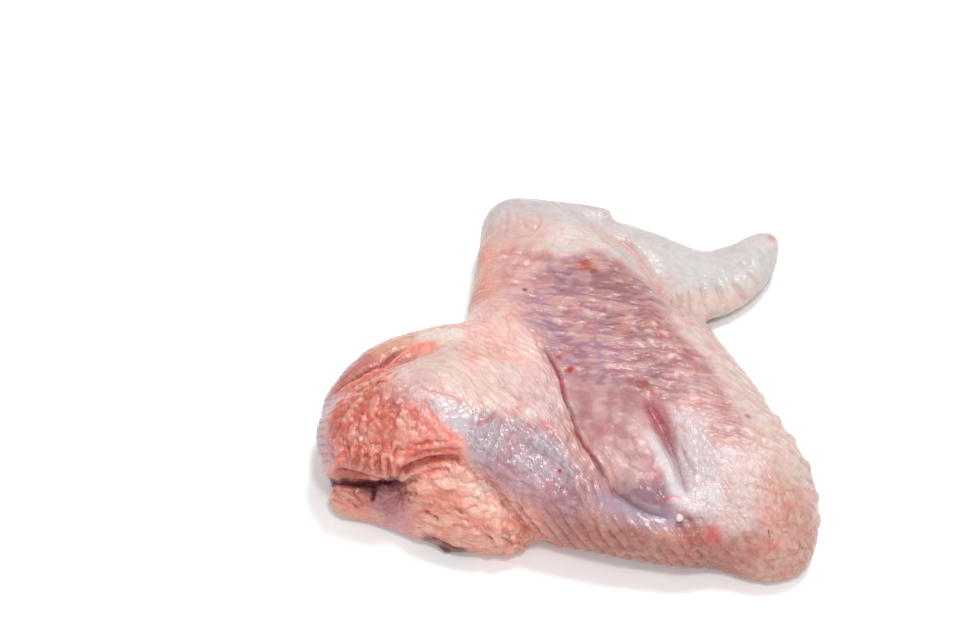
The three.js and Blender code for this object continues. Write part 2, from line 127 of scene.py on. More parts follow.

# Folds (depth above 0) and ridges (below 0): name, half width, depth and lip in mm, tint, the tint's
# strength and half width in mm, and one or more paths of places in the picture. The dark tints of the
# folds are painted shade in the creases.
FOLDS = [
    ("arm_crease_upper", 0.6, 1.2, 0.3, "deep_red", 1.0, 0.6,
     [(543, 340), (549, 355), (557, 370), (562, 385), (565, 400), (571, 415), (577, 431), (584, 445),
      (592, 457), (601, 470), (606, 479)]),
    ("arm_crease_lower", 1.0, 0.7, 0.2, "violet_dark", 0.55, 0.9,
     [(590, 455), (599, 467), (605, 478), (611, 488), (618, 495), (627, 502), (645, 512), (662, 517),
      (676, 519)]),
    ("arm_crease_tail", 1.1, 0.8, 0.2, "lilac_dark", 0.5, 1.6, [(674, 519), (690, 520), (704, 519)]),
    ("band_lip", 2.4, -0.7, 0.0, "pale_pink", 0.3, 2.0,
     [(535, 345), (549, 372), (556, 395), (562, 414), (570, 435), (580, 452), (592, 472), (600, 486)]),
    ("forearm_groove", 1.9, 1.3, 0.2, "lilac_dark", 0.35, 1.4,
     [(646, 396), (652, 408), (661, 424), (669, 444), (677, 466), (683, 484), (687, 498)]),
    ("groove_flush", 2.0, 0.8, 0.0, "deep_rose", 0.85, 2.4,
     [(648, 400), (653, 412), (660, 424), (667, 436)]),
    ("forearm_groove_core", 0.6, 0.4, 0.0, "plum", 0.45, 0.7,
     [(655, 412), (663, 428), (671, 446), (679, 468), (684, 484), (688, 499)]),
    ("outer_groove", 0.8, 0.45, 0.2, "lilac_rose_dark", 0.45, 1.0,
     [(680, 446), (686, 460), (692, 470), (697, 479)]),
    ("groove_head", 0.9, 0.25, 0.2, "rust", 0.4, 1.7, [(620, 379), (634, 382), (646, 388), (656, 396)]),
    ("tendon_ridge", 3.0, -1.0, 0.0, "tendon_white", 0.3, 2.0,
     [(650, 434), (658, 452), (668, 472), (679, 492)]),
    ("pink_arcs", 0.6, 0.12, 0.05, "flush_pink", 0.4, 0.7,
     [(655, 505), (664, 501), (674, 500)],
     [(669, 497), (678, 497), (685, 503)]),
    ("arm_furrow", 1.4, 0.25, 0.2, "plum", 0.25, 1.5,
     [(500, 424), (515, 435), (530, 447), (545, 458), (560, 472), (568, 487), (580, 501)]),
    ("arm_furrow_two", 0.8, 0.35, 0.3, "plum", 0.3, 0.8, [(571, 462), (577, 474), (582, 488), (588, 502)]),
    ("arm_furrow_three", 0.8, 0.4, 0.3, "plum", 0.3, 0.9, [(592, 478), (596, 492), (600, 508)]),
    ("hollow_red_line", 0.6, 0.5, 0.2, "flush_pink", 0.55, 0.8, [(476, 426), (488, 421), (498, 411)]),
    ("shoulder_fold", 1.5, 1.9, 0.5, "deep_orange", 0.9, 1.9,
     [(398, 476), (406, 469), (415, 465), (435, 459), (452, 459), (468, 463)]),
    ("shoulder_fold_two", 0.9, 0.8, 0.3, "deep_orange", 0.6, 1.1,
     [(408, 458), (425, 452), (448, 449), (462, 452)]),
    ("shoulder_fold_three", 0.8, 0.6, 0.3, "deep_orange", 0.5, 1.0, [(412, 446), (430, 442), (450, 441)]),
    ("shoulder_fold_four", 0.9, 0.8, 0.3, "deep_orange", 0.5, 1.0,
     [(402, 486), (412, 478), (432, 470), (450, 468)]),
    ("blob_arc", 0.7, 0.2, 0.1, "flush_pink", 0.4, 1.1,
     [(412, 378), (424, 388), (440, 392), (456, 398), (466, 410)]),
    ("blob_rim", 0.8, 0.25, 0.15, "flush_red", 0.5, 1.3,
     [(420, 394), (428, 410), (440, 426), (452, 437), (462, 440)]),
    ("pleats", 1.6, -1.9, 0.0, "peach", 0.25, 1.0,
     [(344, 446), (341, 455), (338, 466)],
     [(354, 441), (353, 453), (350, 467)],
     [(363, 444), (363, 456), (362, 470)],
     [(373, 447), (374, 459), (375, 473)],
     [(383, 450), (385, 462), (387, 476)],
     [(392, 454), (395, 465), (397, 477)]),
    ("pleat_gaps", 0.6, 0.4, 0.0, "deep_orange", 0.6, 0.7,
     [(349, 444), (347, 454), (344, 468)],
     [(358, 443), (358, 455), (356, 470)],
     [(368, 446), (368, 458), (368, 473)],
     [(378, 449), (380, 461), (381, 476)],
     [(388, 452), (390, 464), (392, 478)]),
    # flap_lower_edge, lip_cleft and mouth_slit: their dark tints are painted shade in the slit under the
    # flap.
    ("flap_lower_edge", 0.9, 0.9, 0.0, "brown_red", 0.6, 0.9,
     [(328, 478), (334, 470), (344, 470), (356, 473), (368, 476), (381, 479), (396, 481)]),
    ("flap_corner", 1.3, -1.3, 0.0, "flush_orange", 0.9, 1.2,
     [(327, 478), (333, 470), (340, 461), (350, 452)]),
    ("lip_cleft", 0.7, 1.6, 0.3, "dark_flesh", 0.9, 1.0, [(374, 482), (374, 489), (373, 496), (372, 502)]),
    ("lip_line", 0.7, 0.4, 0.2, "deep_rose", 0.5, 0.9, [(326, 488), (338, 493), (350, 500), (360, 510)]),
    ("mouth_slit", 0.8, 2.0, 0.3, "dark_flesh", 1.0, 0.95,
     [(322, 482), (334, 483), (348, 483), (362, 483), (376, 483), (388, 481), (398, 477)]),
    ("lip_cleft_two", 0.6, 0.5, 0.2, "plum", 0.3, 0.8, [(398, 486), (402, 500), (404, 514)]),
    ("skin_edge", 1.1, -1.1, 0.0, "flush_orange", 0.75, 1.3,
     [(330, 404), (345, 390), (365, 379), (385, 370), (396, 360), (410, 351), (430, 344), (452, 341)]),
    ("skin_edge_gap", 0.9, 1.3, 0.0, "brown_red", 0.6, 1.0,
     [(330, 398), (344, 384), (364, 373), (384, 364), (396, 354), (408, 346)]),
    ("brow_fold", 0.9, 0.8, 0.3, "deep_orange", 0.6, 1.0, [(352, 394), (368, 386), (388, 380), (400, 370)]),
    ("pad_edge", 1.2, 1.0, 0.3, "deep_orange", 0.55, 1.3,
     [(478, 470), (492, 484), (505, 500), (517, 515), (530, 531), (541, 544)]),
    ("pad_edge_two", 0.8, 0.8, 0.3, "plum", 0.45, 1.0, [(512, 498), (522, 512), (534, 526), (545, 538)]),
    ("pad_slits", 0.6, 0.7, 0.2, "deep_orange", 0.6, 0.8,
     [(402, 484), (410, 481), (420, 482)],
     [(403, 492), (412, 492), (420, 494)],
     [(424, 510), (432, 515), (438, 522)]),
    ("pad_slits_low", 0.6, 0.6, 0.2, "deep_orange", 0.5, 0.8,
     [(448, 505), (456, 508), (463, 514)],
     [(478, 530), (486, 534), (493, 540)]),
    ("pad_slit_red", 0.6, 0.7, 0.2, "brown_red", 0.6, 0.8, [(500, 536), (508, 541), (514, 546)]),
    ("pad_slit_high", 0.6, 0.6, 0.2, "deep_orange", 0.5, 0.8, [(500, 500), (506, 507), (514, 514)]),
    ("hand_line", 1.4, 0.9, 0.3, "pale_flush", 0.6, 1.6,
     [(612, 234), (635, 254), (650, 275), (665, 296), (680, 312), (692, 322)]),
    ("hand_quills", 1.1, 0.95, 0.45, "quill_shade", 0.45, 1.0,
     [(690, 286), (692, 300), (693, 314)],
     [(702, 285), (706, 300), (708, 317)],
     [(716, 283), (722, 298), (724, 314)],
     [(732, 280), (740, 292), (744, 303)]),
    ("hand_quill_inner", 0.9, 0.9, 0.5, "quill_shade", 0.4, 0.9, [(679, 288), (679, 300), (679, 308)]),
    ("hand_quill_outer", 0.9, 0.8, 0.4, "quill_shade", 0.4, 0.9, [(747, 271), (755, 280), (759, 287)]),
    ("wrist_fold", 0.9, 0.3, 0.15, "rose", 0.25, 1.2, [(505, 208), (507, 222), (503, 236)]),
    ("wrist_ring", 0.7, 0.25, 0.15, "beige_rose", 0.3, 0.8,
     [(524, 218), (530, 214), (537, 216), (539, 222), (535, 229), (528, 229), (523, 224), (524, 217)]),
    ("thumb_tear_c", 0.6, 0.6, 0.3, "quill_shade", 0.4, 0.7, [(595, 206), (598, 213)]),
    ("thumb_tear_b", 0.6, 0.6, 0.3, "quill_shade", 0.5, 0.7, [(603, 206), (606, 214), (604, 221)]),
    ("thumb_tear_a", 0.6, 0.8, 0.3, "quill_shade", 0.5, 0.7, [(612, 205), (614, 213), (611, 222)]),
    ("flap_edge", 0.7, 0.8, 0.2, "wine", 0.7, 1.1, [(430, 537), (440, 541), (450, 545), (462, 549)]),
    ("band_folds", 1.0, 0.6, 0.3, "rose", 0.4, 1.2,
     [(496, 378), (506, 388), (516, 396), (526, 402)],
     [(500, 405), (512, 414), (524, 424), (540, 436)]),
    ("band_fold_long", 0.9, 0.5, 0.3, "rose", 0.3, 1.2, [(532, 412), (545, 428), (558, 444), (570, 458)]),
]

# Spots: name, tint, radius in mm, strength, height in mm, and their places in the picture.
SPOTS = [
    ("quill_nub", "lilac_rose", 1.6, 0.6, 0.3, (679, 516)),
    ("hand_nub", "flush_orange", 1.3, 0.8, 0.6, (722, 319)),
    ("rust_spot_a", "rust", 2.4, 0.95, -0.1, (585, 264)),
    ("rust_spot_b", "brown_red", 1.6, 0.6, -0.1, (594, 270)),
    ("red_spot_a", "red_dot", 1.4, 0.8, 0.0, (570, 369)),
    ("red_spot_b", "red_dot", 1.2, 0.6, 0.0, (558, 357)),
    ("brown_spot", "rust", 2.2, 0.35, 0.0, (632, 365)),
    ("wrist_rust", "rust", 2.6, 0.45, 0.0, (546, 256)),
    ("dark_speck", "black_hair", 0.7, 1.0, -0.1, (525, 289)),
    ("edge_spot", "rust", 1.1, 0.7, 0.0, (748, 416)),
    ("elbow_flush", "flush_pink", 2.6, 0.3, 0.0, (775, 545)),
    ("elbow_flush_two", "flush_pink", 2.0, 0.28, 0.0, (790, 505)),
    ("elbow_dot", "red_dot", 0.8, 0.7, 0.0, (768, 508)),
    ("hollow_dot", "red_dot", 0.8, 0.9, 0.0, (559, 471)),
    ("bruise", "flush_pink", 3.0, 0.55, 0.0, (713, 535)),
    ("rust_spot_c", "rust", 1.4, 0.5, 0.0, (622, 315)),
    ("rust_spot_d", "rust", 1.6, 0.45, 0.0, (648, 322)),
    ("groove_mouth", "brown_red", 1.6, 0.25, -0.1, (640, 385)),
    ("pad_hole", "flush_red", 1.0, 0.5, -0.3, (477, 479)),
    ("band_red", "flush_pink", 2.0, 0.4, 0.0, (545, 425)),
    ("flap_blood", "dark_flesh", 2.2, 0.7, 0.5, (461, 549)),
    ("flap_blood_two", "wine", 1.6, 0.6, 0.4, (452, 547)),
    ("tip_scab", "rust", 1.5, 0.4, 0.2, (771, 238)),
    ("sheen_flush", "flush_pink", 1.4, 0.35, 0.0, (725, 486)),
    ("elbow_speck_a", "brown_red", 0.8, 0.6, 0.0, (742, 562)),
    ("elbow_speck_b", "brown_red", 0.6, 0.5, 0.0, (749, 566)),
    ("edge_scallops", "cream", 2.3, 0.2, 1.15, (763, 397), (776, 418), (792, 441), (806, 467), (815, 495)),
    ("edge_scallop_low", "cream", 2.3, 0.2, 0.8, (819, 521)),
]

# ---- Numbers ----
MM = 1000  # millimetres in a metre
SEED = 7
TABLE = 4096  # random values that noise and jitter are taken from
CELL_CODES = (73856093, 19349663, 83492791)  # primes that turn a cell of space into a place in the table

PICTURE = (960, 640)  # pixels of the picture that places are named in
LENS = 85  # mm
SENSOR = 36  # mm
CAMERA_PLACE = Vector((-0.0315, -0.55924, 0.66883))
CAMERA_TILT = math.radians(42)
OFF_EDGE_HEIGHT = 0.012  # m, the height at which a place just past the edge is looked for

VOXEL = 1.15  # mm, pitch at which the solid is drawn again
SMOOTHING_TURNS = 22
LINE_STEP = 1.2  # mm between the points of a smooth line
SHOWN_SLOPE = -0.3  # faces that look up more than this are drawn twice as fine
FINE_WIDTH = 1.3  # times a fold's width, drawn twice as fine once more
FINE_MARGIN = 0.6  # mm added to that
FOLD_REACH = 4.2  # times a fold's width, past which it leaves the skin alone
SPOT_REACH = 3  # times a spot's radius
FLAT_UNDER = (0.3, 3.0)  # mm above the floor between which the relief grows to its full height

PLAIN_SHARE = 0.009  # of the plain tone, which shows where no named place is near
TONE_POWER = 1.6  # above 1, so that the strongest tone at a place wins
TONE_REACH = 4.5  # times a tone's own reach, past which it has no say
TAIL_SHARE = 0.05  # of a tone's weight, in the wide soft tail round it
TAIL_REACH = 2.2  # times a tone's own reach
TONE_WANDER = 2.2  # mm by which the borders of the tones wander
BACK_SHARE = 0.75  # of the plain mottled skin, where the camera doesn't look
LIGHTNESS = 0.72  # of the skin, so that it stays under the white of the room
RICHNESS = 1.27  # of its colours

ROW_PITCH = 4.4  # mm between the rows of quills
QUILL_PITCH = 4.9  # mm along a row
ROW_TILT = -0.12  # radians, of the rows against the x axis
ROW_CODES = (131, 17)  # turn a row and a column into a place in the table
QUILL_JITTER = 0.12  # of a pitch, by which a quill stands off its row
QUILL_CATCH = 0.25  # of a pitch, within which a point of the skin can be a quill's foot
QUILL_REACH = 3.6  # mm round a quill that its dash and pit take up
DASH = (1.9, 0.8)  # mm, half length and half width of the dash at a quill
PIT = (0.5, 0.45)  # mm, the same of the pit at its near end

SCALE_PITCH = 1.9  # mm between the scales of the shoulder's gooseflesh
SCALE_LIE = (-0.35, -0.7, -0.6)  # the way the scales are drawn out
SCALE_LEAN = (-0.45, -0.65, -0.6)  # the way they overlap
LOBULE_PITCH = 3.1  # mm between the lobules of the fat pad
LOBULE_LIE = (0.95, -0.3, 0.1)
LOBULE_LEAN = (-0.3, -0.75, -0.6)
CELL_WARP = 0.36  # of a pitch, by which cells are bent out of shape
CELL_ROOM = (0.7, 1.35)  # of a pitch, least and most room that a cell keeps to its neighbours

STUB_PLACE = (679, 517)
STUB_PROFILE = [(1.0, -1.4), (1.25, -0.2), (1.45, 0.6), (1.5, 1.3), (1.3, 2.0), (0.9, 2.5), (0.4, 2.75),
                (0.1, 2.8)]  # mm: radius and height
HAIR_PLACE = (769, 530)
HAIR_PROFILE = [(0.13, -0.4), (0.13, 1.5), (0.1, 3.0), (0.03, 4.0)]  # mm: radius and height
HAIR_LIE = (0.06, -0.75, -0.3)

LIGHTS = [  # name, place and disc's size in m, power in W
    ("key", (0.15, 0.19, 0.92), 0.26, 5.75),
    ("overhead", (0.08, -0.36, 0.88), 0.14, 2.2),
    ("fill", (-0.2, -0.85, 0.5), 0.7, 2.1),
]
LIGHT_AIM = (0, 0, 0.02)
ROOM_LIGHT = 0.62
FLOOR_HALF = 4.0  # m
FLOOR_TINT = (0.96, 0.985, 0.99)


def rgb(tint):
    """A colour, or a palette colour's name, as linear light: the inverse of a screen's curve."""
    c = np.array(PALETTE.get(tint, tint), float) / 255.0
    return np.where(c <= 0.04045, c / 12.92, ((c + 0.055) / 1.055) ** 2.4)


# ---- Places named by what the picture shows there ----
def tree_of(mesh):
    """A mesh's faces, ready for rays."""
    return BVHTree.FromPolygons([v.co for v in mesh.vertices], [p.vertices for p in mesh.polygons])


shown = tree_of(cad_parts["turkey_wing"].data)  # the solid, until its fine copy is drawn


def seen_at(x, y):
    """The point of the wing, in mm, that the camera shows at a pixel of the picture."""
    focal = PICTURE[0] * LENS / SENSOR
    ray = Vector(((x - PICTURE[0] / 2) / focal, (PICTURE[1] / 2 - y) / focal, -1))
    ray.rotate(Euler((CAMERA_TILT, 0, 0)))
    place = shown.ray_cast(CAMERA_PLACE, ray)[0]
    if place is None:  # just past the edge: the nearest point of the wing
        off_edge = CAMERA_PLACE + ray * ((OFF_EDGE_HEIGHT - CAMERA_PLACE.z) / ray.z)
        place = shown.find_nearest(off_edge)[0]
    return np.array(place) * MM


def route(pixels):
    """The points of the wing, in mm, that a path of pixels runs over."""
    return [seen_at(x, y) for x, y in pixels]


# ---- Fields over the skin, in millimetres ----
def noise(points, size, seed):
    """Smooth noise between -1 and 1 whose lumps are about size millimetres across."""
    table = np.random.default_rng(SEED + seed).uniform(-1, 1, TABLE)
    p = points / size + 100.0
    cell = np.floor(p).astype(np.int64)
    f = p - cell
    f = f * f * (3 - 2 * f)
    total = np.zeros(len(points))
    for corner in range(8):
        bits = np.array([corner & 1, corner >> 1 & 1, corner >> 2])
        c = cell + bits
        mixed = np.bitwise_xor.reduce(c * np.array(CELL_CODES), axis=1)
        weight = np.prod(np.where(bits, f, 1 - f), axis=1)
        total += table[mixed % TABLE] * weight
    return total


def layered(points, size, seed, layers=3):
    """Noise in layers, each half as large and half as strong as the one before."""
    total = np.zeros(len(points))
    for i in range(layers):
        total += noise(points, size / 2**i, seed + 17 * i) / 2**i
    return total / (2 - 0.5 ** (layers - 1))


def smooth_line(path):
    """Points about a step apart on a smooth curve through the path."""
    p = np.array(path, float)
    if len(p) == 1:
        return np.vstack([p, p])
    ends = np.vstack([2 * p[0] - p[1], p, 2 * p[-1] - p[-2]])
    out = []
    for a, b, c, d in zip(ends, ends[1:], ends[2:], ends[3:]):
        n = max(2, int(math.ceil(np.linalg.norm(c - b) / LINE_STEP)))
        t = np.linspace(0, 1, n, endpoint=False)[:, None]
        out.append(0.5 * (2 * b + (c - a) * t + (2 * a - 5 * b + 4 * c - d) * t**2
                          + (3 * b - a - 3 * c + d) * t**3))
    return np.vstack(out + [p[-1:]])


def beside(points, path, reach):
    """Which points lie within reach of a line, how far from it, and their share of the way."""
    line = smooth_line(path)
    low, high = line.min(0) - reach, line.max(0) + reach
    near = np.where(np.all((points > low) & (points < high), axis=1))[0]
    best = np.full(len(near), np.inf)
    share = np.zeros(len(near))
    q = points[near]
    for i, (a, b) in enumerate(zip(line, line[1:])):
        ab = b - a
        t = np.clip((q - a) @ ab / max(ab @ ab, 1e-9), 0, 1)
        d = np.linalg.norm(q - a - t[:, None] * ab, axis=1)
        closer = d < best
        best[closer] = d[closer]
        share[closer] = (i + t[closer]) / (len(line) - 1)
    keep = best < reach
    return near[keep], best[keep], share[keep]


def bell(x):
    """1 at 0, falling softly to 0 on both sides."""
    return np.exp(-x * x)


def ramp(x, low, high):
    """0 up to low, 1 from high on, and smooth between them."""
    t = np.clip((x - low) / (high - low), 0, 1)
    return t * t * (3 - 2 * t)


# ---- The skin's mesh ----
def linked(name, data):
    """A new object in the scene."""
    obj = bpy.data.objects.new(name, data)
    bpy.context.scene.collection.objects.link(obj)
    return obj


def fine_copy(node):
    """The node's surface on a fine even grid, finer where it is seen and along the folds."""
    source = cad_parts[node]
    wing = linked("wing_skin", source.data.copy())
    remesh = wing.modifiers.new("even_grid", "REMESH")
    remesh.mode = "VOXEL"
    remesh.voxel_size = VOXEL / MM
    smooth = wing.modifiers.new("rounded", "SMOOTH")
    smooth.factor = 0.5
    smooth.iterations = SMOOTHING_TURNS
    graph = bpy.context.evaluated_depsgraph_get()
    mesh = bpy.data.meshes.new_from_object(wing.evaluated_get(graph))
    wing.modifiers.clear()
    wing.data = mesh

    split(mesh, np.array([p.normal.z > SHOWN_SLOPE for p in mesh.polygons]))
    near_fold = np.zeros(len(mesh.vertices), bool)
    points = read(mesh, "co") * MM
    for _, wide, _, _, _, _, tint_wide, *paths in FOLDS:
        reach = FINE_WIDTH * max(wide, tint_wide) + FINE_MARGIN
        for pixels in paths:
            near_fold[beside(points, route(pixels), reach)[0]] = True
    split(mesh, np.array([all(near_fold[i] for i in p.vertices) for p in mesh.polygons]))
    return wing


def split(mesh, chosen):
    """Cuts the edges of the chosen faces in two."""
    work = bmesh.new()
    work.from_mesh(mesh)
    edges = {e for f, take in zip(work.faces, chosen) if take for e in f.edges}
    bmesh.ops.subdivide_edges(work, edges=list(edges), cuts=1, use_grid_fill=True)
    work.to_mesh(mesh)
    work.free()


def read(mesh, what):
    """The place or the normal of each of a mesh's points, one to a row."""
    data = np.zeros(len(mesh.vertices) * 3)
    mesh.vertices.foreach_get(what, data)
    return data.reshape(-1, 3)


wing = fine_copy("turkey_wing")
mesh = wing.data
shown = tree_of(mesh)
skin = read(mesh, "co") * MM
normals = read(mesh, "normal")
count = len(skin)
everywhere = np.arange(count)

# ---- Tones: how much each named place has a say at every point ----
wander = np.stack([layered(skin, 9, s) for s in (1, 2, 3)], axis=1) * TONE_WANDER
wandered = skin + wander
says = {}
colour = np.tile(PLAIN_SHARE * rgb("pale_rose"), (count, 1))
total = np.full(count, PLAIN_SHARE)
for name, tone, reach, weight, *pixels in TONES:
    near, far, _ = beside(wandered, route(pixels), reach * TONE_REACH)
    say = np.zeros(count)
    say[near] = weight * bell(far / reach) + TAIL_SHARE * weight * bell(far / (TAIL_REACH * reach))
    says[name] = say
    power = say**TONE_POWER
    total += power
    colour += power[:, None] * rgb(tone)
colour /= total[:, None]

# What the camera doesn't see takes a plain mottled skin tone, without a hard border.
facing = normals @ np.array((0, -math.sin(CAMERA_TILT), math.cos(CAMERA_TILT)))
turned_away = ramp(-facing, -0.1, 0.5)
mottle = ramp(layered(skin, 20, 77), -0.4, 0.5)
back_skin = rgb("cream_pink") + np.outer(mottle, rgb("rose") - rgb("cream_pink"))
colour += BACK_SHARE * turned_away[:, None] * (back_skin - colour)
share_of = {name: say**TONE_POWER / total for name, say in says.items()}


def zone(*names):
    """How far each point belongs to the named tones, from 0 to 1."""
    return np.clip(sum(share_of[n] for n in names), 0, 1)


forearm = zone("forearm_muscle", "forearm_middle", "forearm_outer", "forearm_belly", "web_head",
               "trailing_skin", "forearm_head")
hand = zone("hand", "hand_underrim", "hand_tip", "wrist_top", "wrist_side")
bumps = zone("shoulder_bumps", "shoulder_brow", "shoulder_flush") + 0.35 * zone("pleats")
fat = zone("fat_pad", "fat_brow", "fat_white", "lip")
bare = zone("membrane", "membrane_glow", "cartilage", "torn_flap", "mouth", "shoulder_back",
            "meat_patch")
band = zone("band_top", "band_low", "web_shoulder", "leading_skin")
hollow = zone("hollow", "hollow_top", "lilac_strip", "hollow_end")
rim = zone("leading_rim") * (1 - turned_away)
elbow = zone("elbow_inner", "elbow_outer", "elbow_low")
underband = zone("arm_underband")
wrinkled = zone("arm_wrinkles")
belly = zone("forearm_belly")
strip = zone("lilac_strip")

height = np.zeros(count)  # mm along the normal


def dye(index, name, amount):
    """Mixes a palette tint into the colour of the chosen points."""
    amount = np.clip(amount, 0, 1)[:, None]
    colour[index] = colour[index] * (1 - amount) + rgb(name) * amount


# ---- Soft unevenness of the flesh ----
height += 0.55 * layered(skin, 16, 11, 2) + 0.22 * layered(skin, 5.5, 12, 2) * (1 - 0.5 * hand)
height += 0.5 * fat * layered(skin, 6.5, 13, 2)


def across_wing(points, facing_way):
    """How far points lie from front to back along the skin, so that rows run on round its edges."""
    return 0.75 * points[:, 1] + 0.66 * np.where(facing_way[:, 1] > 0.35, -points[:, 2], points[:, 2])


def quill_sites(mask, seed):
    """Places in staggered rows across the skin, as the quills stand, at the skin's own points."""
    rng = np.random.default_rng(SEED + seed)
    index = np.where(mask)[0]
    p = skin[index]
    drop = across_wing(p, normals[index])
    along = (p[:, 0] * math.cos(ROW_TILT) + drop * math.sin(ROW_TILT)) / QUILL_PITCH
    across = (-p[:, 0] * math.sin(ROW_TILT) + drop * math.cos(ROW_TILT)) / ROW_PITCH
    row = np.round(across)
    column = np.round(along - 0.5 * (row % 2))
    jitter = rng.normal(0, QUILL_JITTER, (TABLE, 2))
    code = ((row * ROW_CODES[0] + column * ROW_CODES[1]).astype(np.int64)) % TABLE
    off = np.hypot(along - 0.5 * (row % 2) - column - jitter[code, 0], across - row - jitter[code, 1])
    best = {}
    for k in range(len(index)):
        key = (row[k], column[k])
        if off[k] < QUILL_CATCH and (key not in best or off[k] < best[key][0]):
            best[key] = (off[k], index[k])
    return skin[[i for _, i in best.values()]]


def numbered(places):
    """The places, ready to be searched for the nearest one's number."""
    tree = KDTree(len(places))
    for number, place in enumerate(places):
        tree.insert(place, number)
    tree.balance()
    return tree


def nearest(places, reach, mask):
    """For each point inside the mask: index, offset from its nearest place, that place's number."""
    tree = numbered(places)
    index, offsets, number = [], [], []
    for i in np.where(mask)[0]:
        _, n, far = tree.find(skin[i])
        if far < reach:
            index.append(i)
            offsets.append(skin[i] - places[n])
            number.append(n)
    return np.array(index, int), np.array(offsets), np.array(number, int)


def unit(vectors):
    return vectors / (np.linalg.norm(vectors, axis=1)[:, None] + 1e-9)


def stretched(points, direction, ratio):
    """Space pressed together along a direction, so that what is even in it comes out long."""
    d = np.array(direction, float)
    d /= np.linalg.norm(d)
    return points - np.outer(points @ d, d) * (1 - 1 / ratio)


def pebbles(where, spacing, direction, ratio, seed):
    """Irregular cells in the skin: index, distance to the cell's border, its offset, its number."""
    warp = np.stack([noise(skin, 2.4, seed + k) for k in (5, 6, 7)], axis=1) * CELL_WARP * spacing
    space = stretched(skin + warp, direction, ratio)
    rng = np.random.default_rng(SEED + seed)
    order = rng.permutation(np.where(where)[0])
    room = rng.uniform(*CELL_ROOM, len(order)) * spacing
    wide = CELL_ROOM[1] * spacing
    grid = {}
    chosen = []
    for i, apart in zip(order, room):
        p = space[i]
        key = tuple((p // wide).astype(int))
        close = [q for dx in (-1, 0, 1) for dy in (-1, 0, 1) for dz in (-1, 0, 1)
                 for q in grid.get((key[0] + dx, key[1] + dy, key[2] + dz), ())]
        if all((q[0] - p[0])**2 + (q[1] - p[1])**2 + (q[2] - p[2])**2 > max(apart, q[3])**2 for q in close):
            grid.setdefault(key, []).append((*p, apart))
            chosen.append(i)
    tree = numbered(space[chosen])
    index, border, number = [], [], []
    for i in np.where(where)[0]:
        (_, first, near), (_, _, next_near) = tree.find_n(space[i], 2)
        index.append(i)
        border.append(next_near - near)
        number.append(first)
    index = np.array(index, int)
    number = np.array(number, int)
    return index, np.array(border), skin[index] - skin[np.array(chosen, int)][number], number


def overlapping(where, spacing, direction, ratio, lean_way, edge, gap, seed):
    """Cells that overlap: index, the cell's own value, how far down it a point lies, edge and valley."""
    index, border, off, number = pebbles(where, spacing, direction, ratio, seed)
    own = np.random.default_rng(SEED + seed + 1).uniform(-1, 1, TABLE)[number % TABLE]
    outward = normals[index]
    downhill = np.array(lean_way)
    lean = np.sum(off * unit(downhill - outward * (outward @ downhill)[:, None]), axis=1)
    low_edge = ramp(lean, 0.0, edge)
    return index, own, lean, low_edge, (1 - ramp(border, 0.0, gap)) * low_edge


def lumps(strength, direction, across, ratio, deep, seed, light, top_highlight_amount, dark, valley_shade_amount):
    """Long soft lumps, across mm wide and ratio times as long, with narrower valleys between them; painted
    highlight tints the tops and painted shade the valleys, with the skin's own mottling.
    """
    near = np.where(strength > 0.03)[0]
    p = stretched(skin[near] + 0.6 * wander[near], direction, ratio)
    n = layered(p, across * 1.6, seed, 2)
    shape = np.clip(np.abs(n) * 2.6, 0, 1) ** 0.7
    height[near] += strength[near] * deep * (shape - 0.55)
    # Painted highlight on the tops, painted shade in the valleys.
    dye(near, light, top_highlight_amount * strength[near] * ramp(shape, 0.6, 1.0))
    dye(near, dark, valley_shade_amount * strength[near] * ramp(-shape, -0.4, -0.05))


# Quill rows of the forearm: pale dashes on low ridges, each with a pit at its near end painted rust as
# shade, and painted shade in plum along one side of the dash.
quill_zone = np.clip(1.25 * forearm + 0.4 * turned_away + 0.55 * elbow + 0.3 * underband
                     - 0.75 * belly, 0, 1)
rowed = np.clip(1.2 * zone("forearm_muscle", "forearm_middle", "forearm_outer", "web_head")
                + 0.35 * zone("forearm_head", "trailing_skin") + 0.12 * belly, 0, 1)
drop = across_wing(skin, normals)
rows = -skin[:, 0] * math.sin(ROW_TILT) + drop * math.cos(ROW_TILT) + 0.7 * wander[:, 1]
furrowed = np.cos(rows / ROW_PITCH * 2 * math.pi)
broken = 0.45 + 0.55 * ramp(noise(skin, 6, 24), -0.3, 0.4)
height += 0.2 * rowed * furrowed * broken
dye(everywhere, "lilac_mauve", 0.4 * rowed * ramp(-furrowed, -0.2, 0.9) * broken)
dye(everywhere, "warm_cream", 0.25 * rowed * ramp(furrowed, 0.2, 1.0) * broken)

# Rusty and beige stains between the rows.
rusty = ramp(noise(skin, 5.5, 28), 0.1, 0.6)
dye(everywhere, "rust", 0.26 * rowed * rusty * (1 - 0.6 * ramp(skin[:, 0], 20, -25)))
dye(everywhere, "beige_rose", 0.4 * rowed * ramp(noise(skin, 4.6, 29), 0.05, 0.5))

